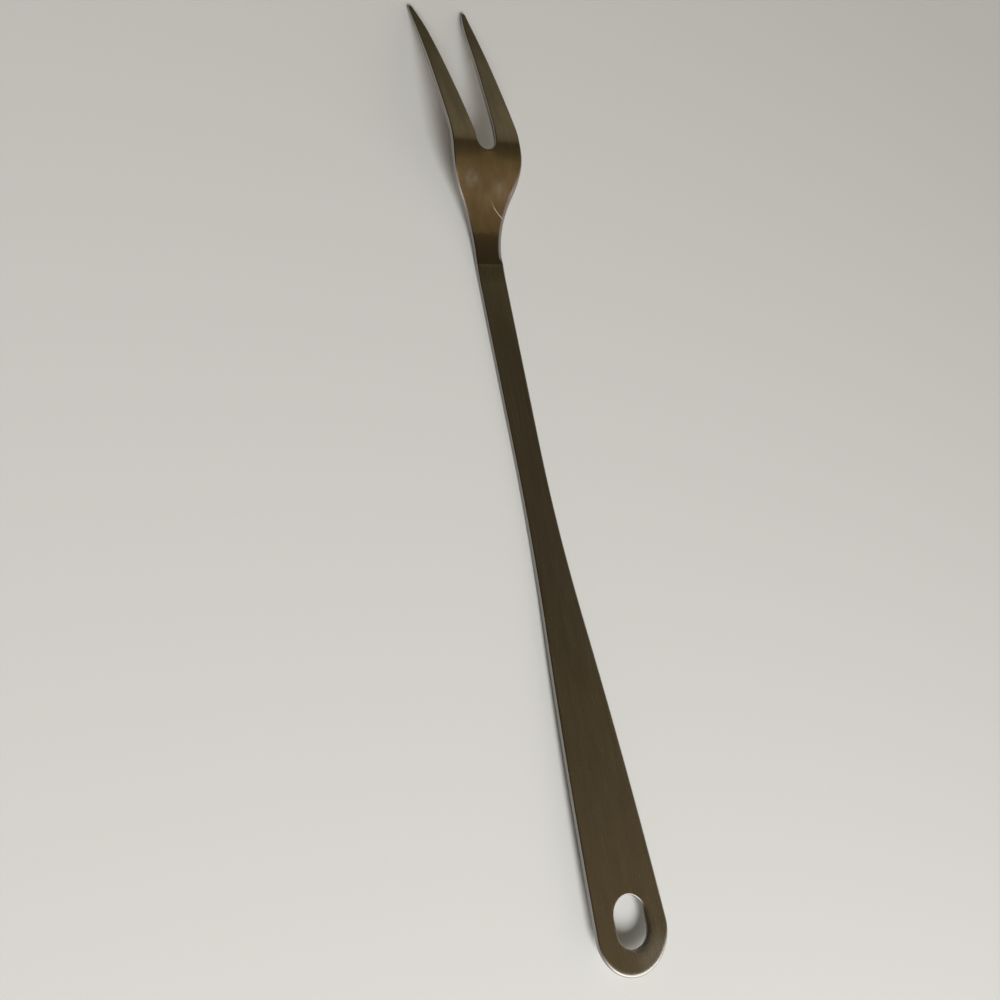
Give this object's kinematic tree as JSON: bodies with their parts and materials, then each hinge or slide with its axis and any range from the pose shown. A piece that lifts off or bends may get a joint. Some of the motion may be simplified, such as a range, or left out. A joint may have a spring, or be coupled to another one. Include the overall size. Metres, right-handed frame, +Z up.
{
  "type": "carving fork",
  "caption": "Slim two-tined steel carving fork with an arched head and a flat handle that widens to a round end with a hanging slot, for holding meat while it is carved.",
  "frame": {"origin": "on the surface that the fork lies on, midway along its length and on its centre line", "axes": "+X along the fork towards the tips, +Z up out of the convex side"},
  "size_m": [0.33, 0.0264, 0.0154],
  "materials": {
    "head_steel": "polished steel with fine wear",
    "handle_steel": "satin brushed steel",
    "weld_steel": "weld metal ground flush"
  },
  "bodies": {
    "root": {"fork_head": "head_steel", "handle": "handle_steel", "neck_weld": "weld_steel"}
  },
  "joints": []
}
